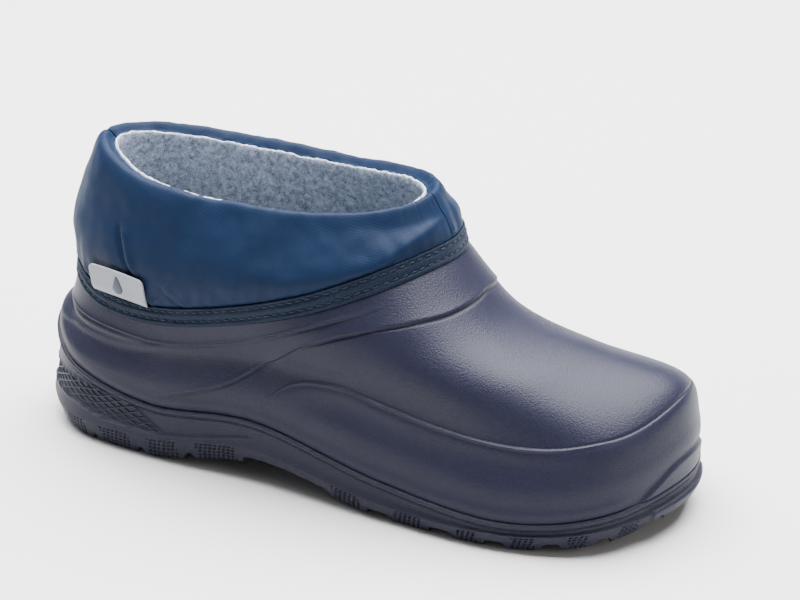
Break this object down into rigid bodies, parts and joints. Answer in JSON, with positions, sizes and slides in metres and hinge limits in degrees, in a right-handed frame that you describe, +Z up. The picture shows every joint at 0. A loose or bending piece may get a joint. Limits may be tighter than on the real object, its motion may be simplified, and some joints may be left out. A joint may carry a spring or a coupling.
{
  "type": "garden clog",
  "caption": "Closed foam garden clog with a lugged tray sole, sewn padded ankle collar, felt lining and a hinged label tab.",
  "frame": {"origin": "centre of the footprint's box, on the ground", "axes": "+X towards the toe, +Y towards the big-toe side, +Z up"},
  "size_m": [0.281, 0.1059, 0.1232],
  "materials": {
    "eva_upper": "fine leather-grain moulded foam, satin",
    "eva_sole": "moulded foam, satin, textured lugs",
    "felt": "melange needle felt",
    "nylon": "coated twill-weave nylon, soft sheen",
    "wadding": "polyester wadding",
    "tape": "folded woven tape",
    "thread": "twisted polyester sewing thread",
    "label": "coated woven label",
    "label_print": "raised satin motif"
  },
  "bodies": {
    "clog": {"outsole": "eva_sole", "upper": "eva_upper", "lining_sole": "felt", "lining_lateral": "felt", "lining_medial": "felt", "collar_panel_lateral": "nylon", "collar_panel_medial": "nylon", "collar_wadding": "wadding", "binding_tape": "tape", "stitch_row_lower": "thread", "stitch_row_upper": "thread"},
    "label": {"label_tab": "label", "label_emblem": "label_print"}
  },
  "joints": [
    {"name": "label_fold", "type": "hinge", "parent": "clog", "child": "label", "pos_m": [-0.09167, -0.03585, 0.0664], "axis": [0.971, -0.2389, -0.0029], "range_deg": [0, 100], "stiffness_Nm_per_rad": 0.0008}
  ]
}
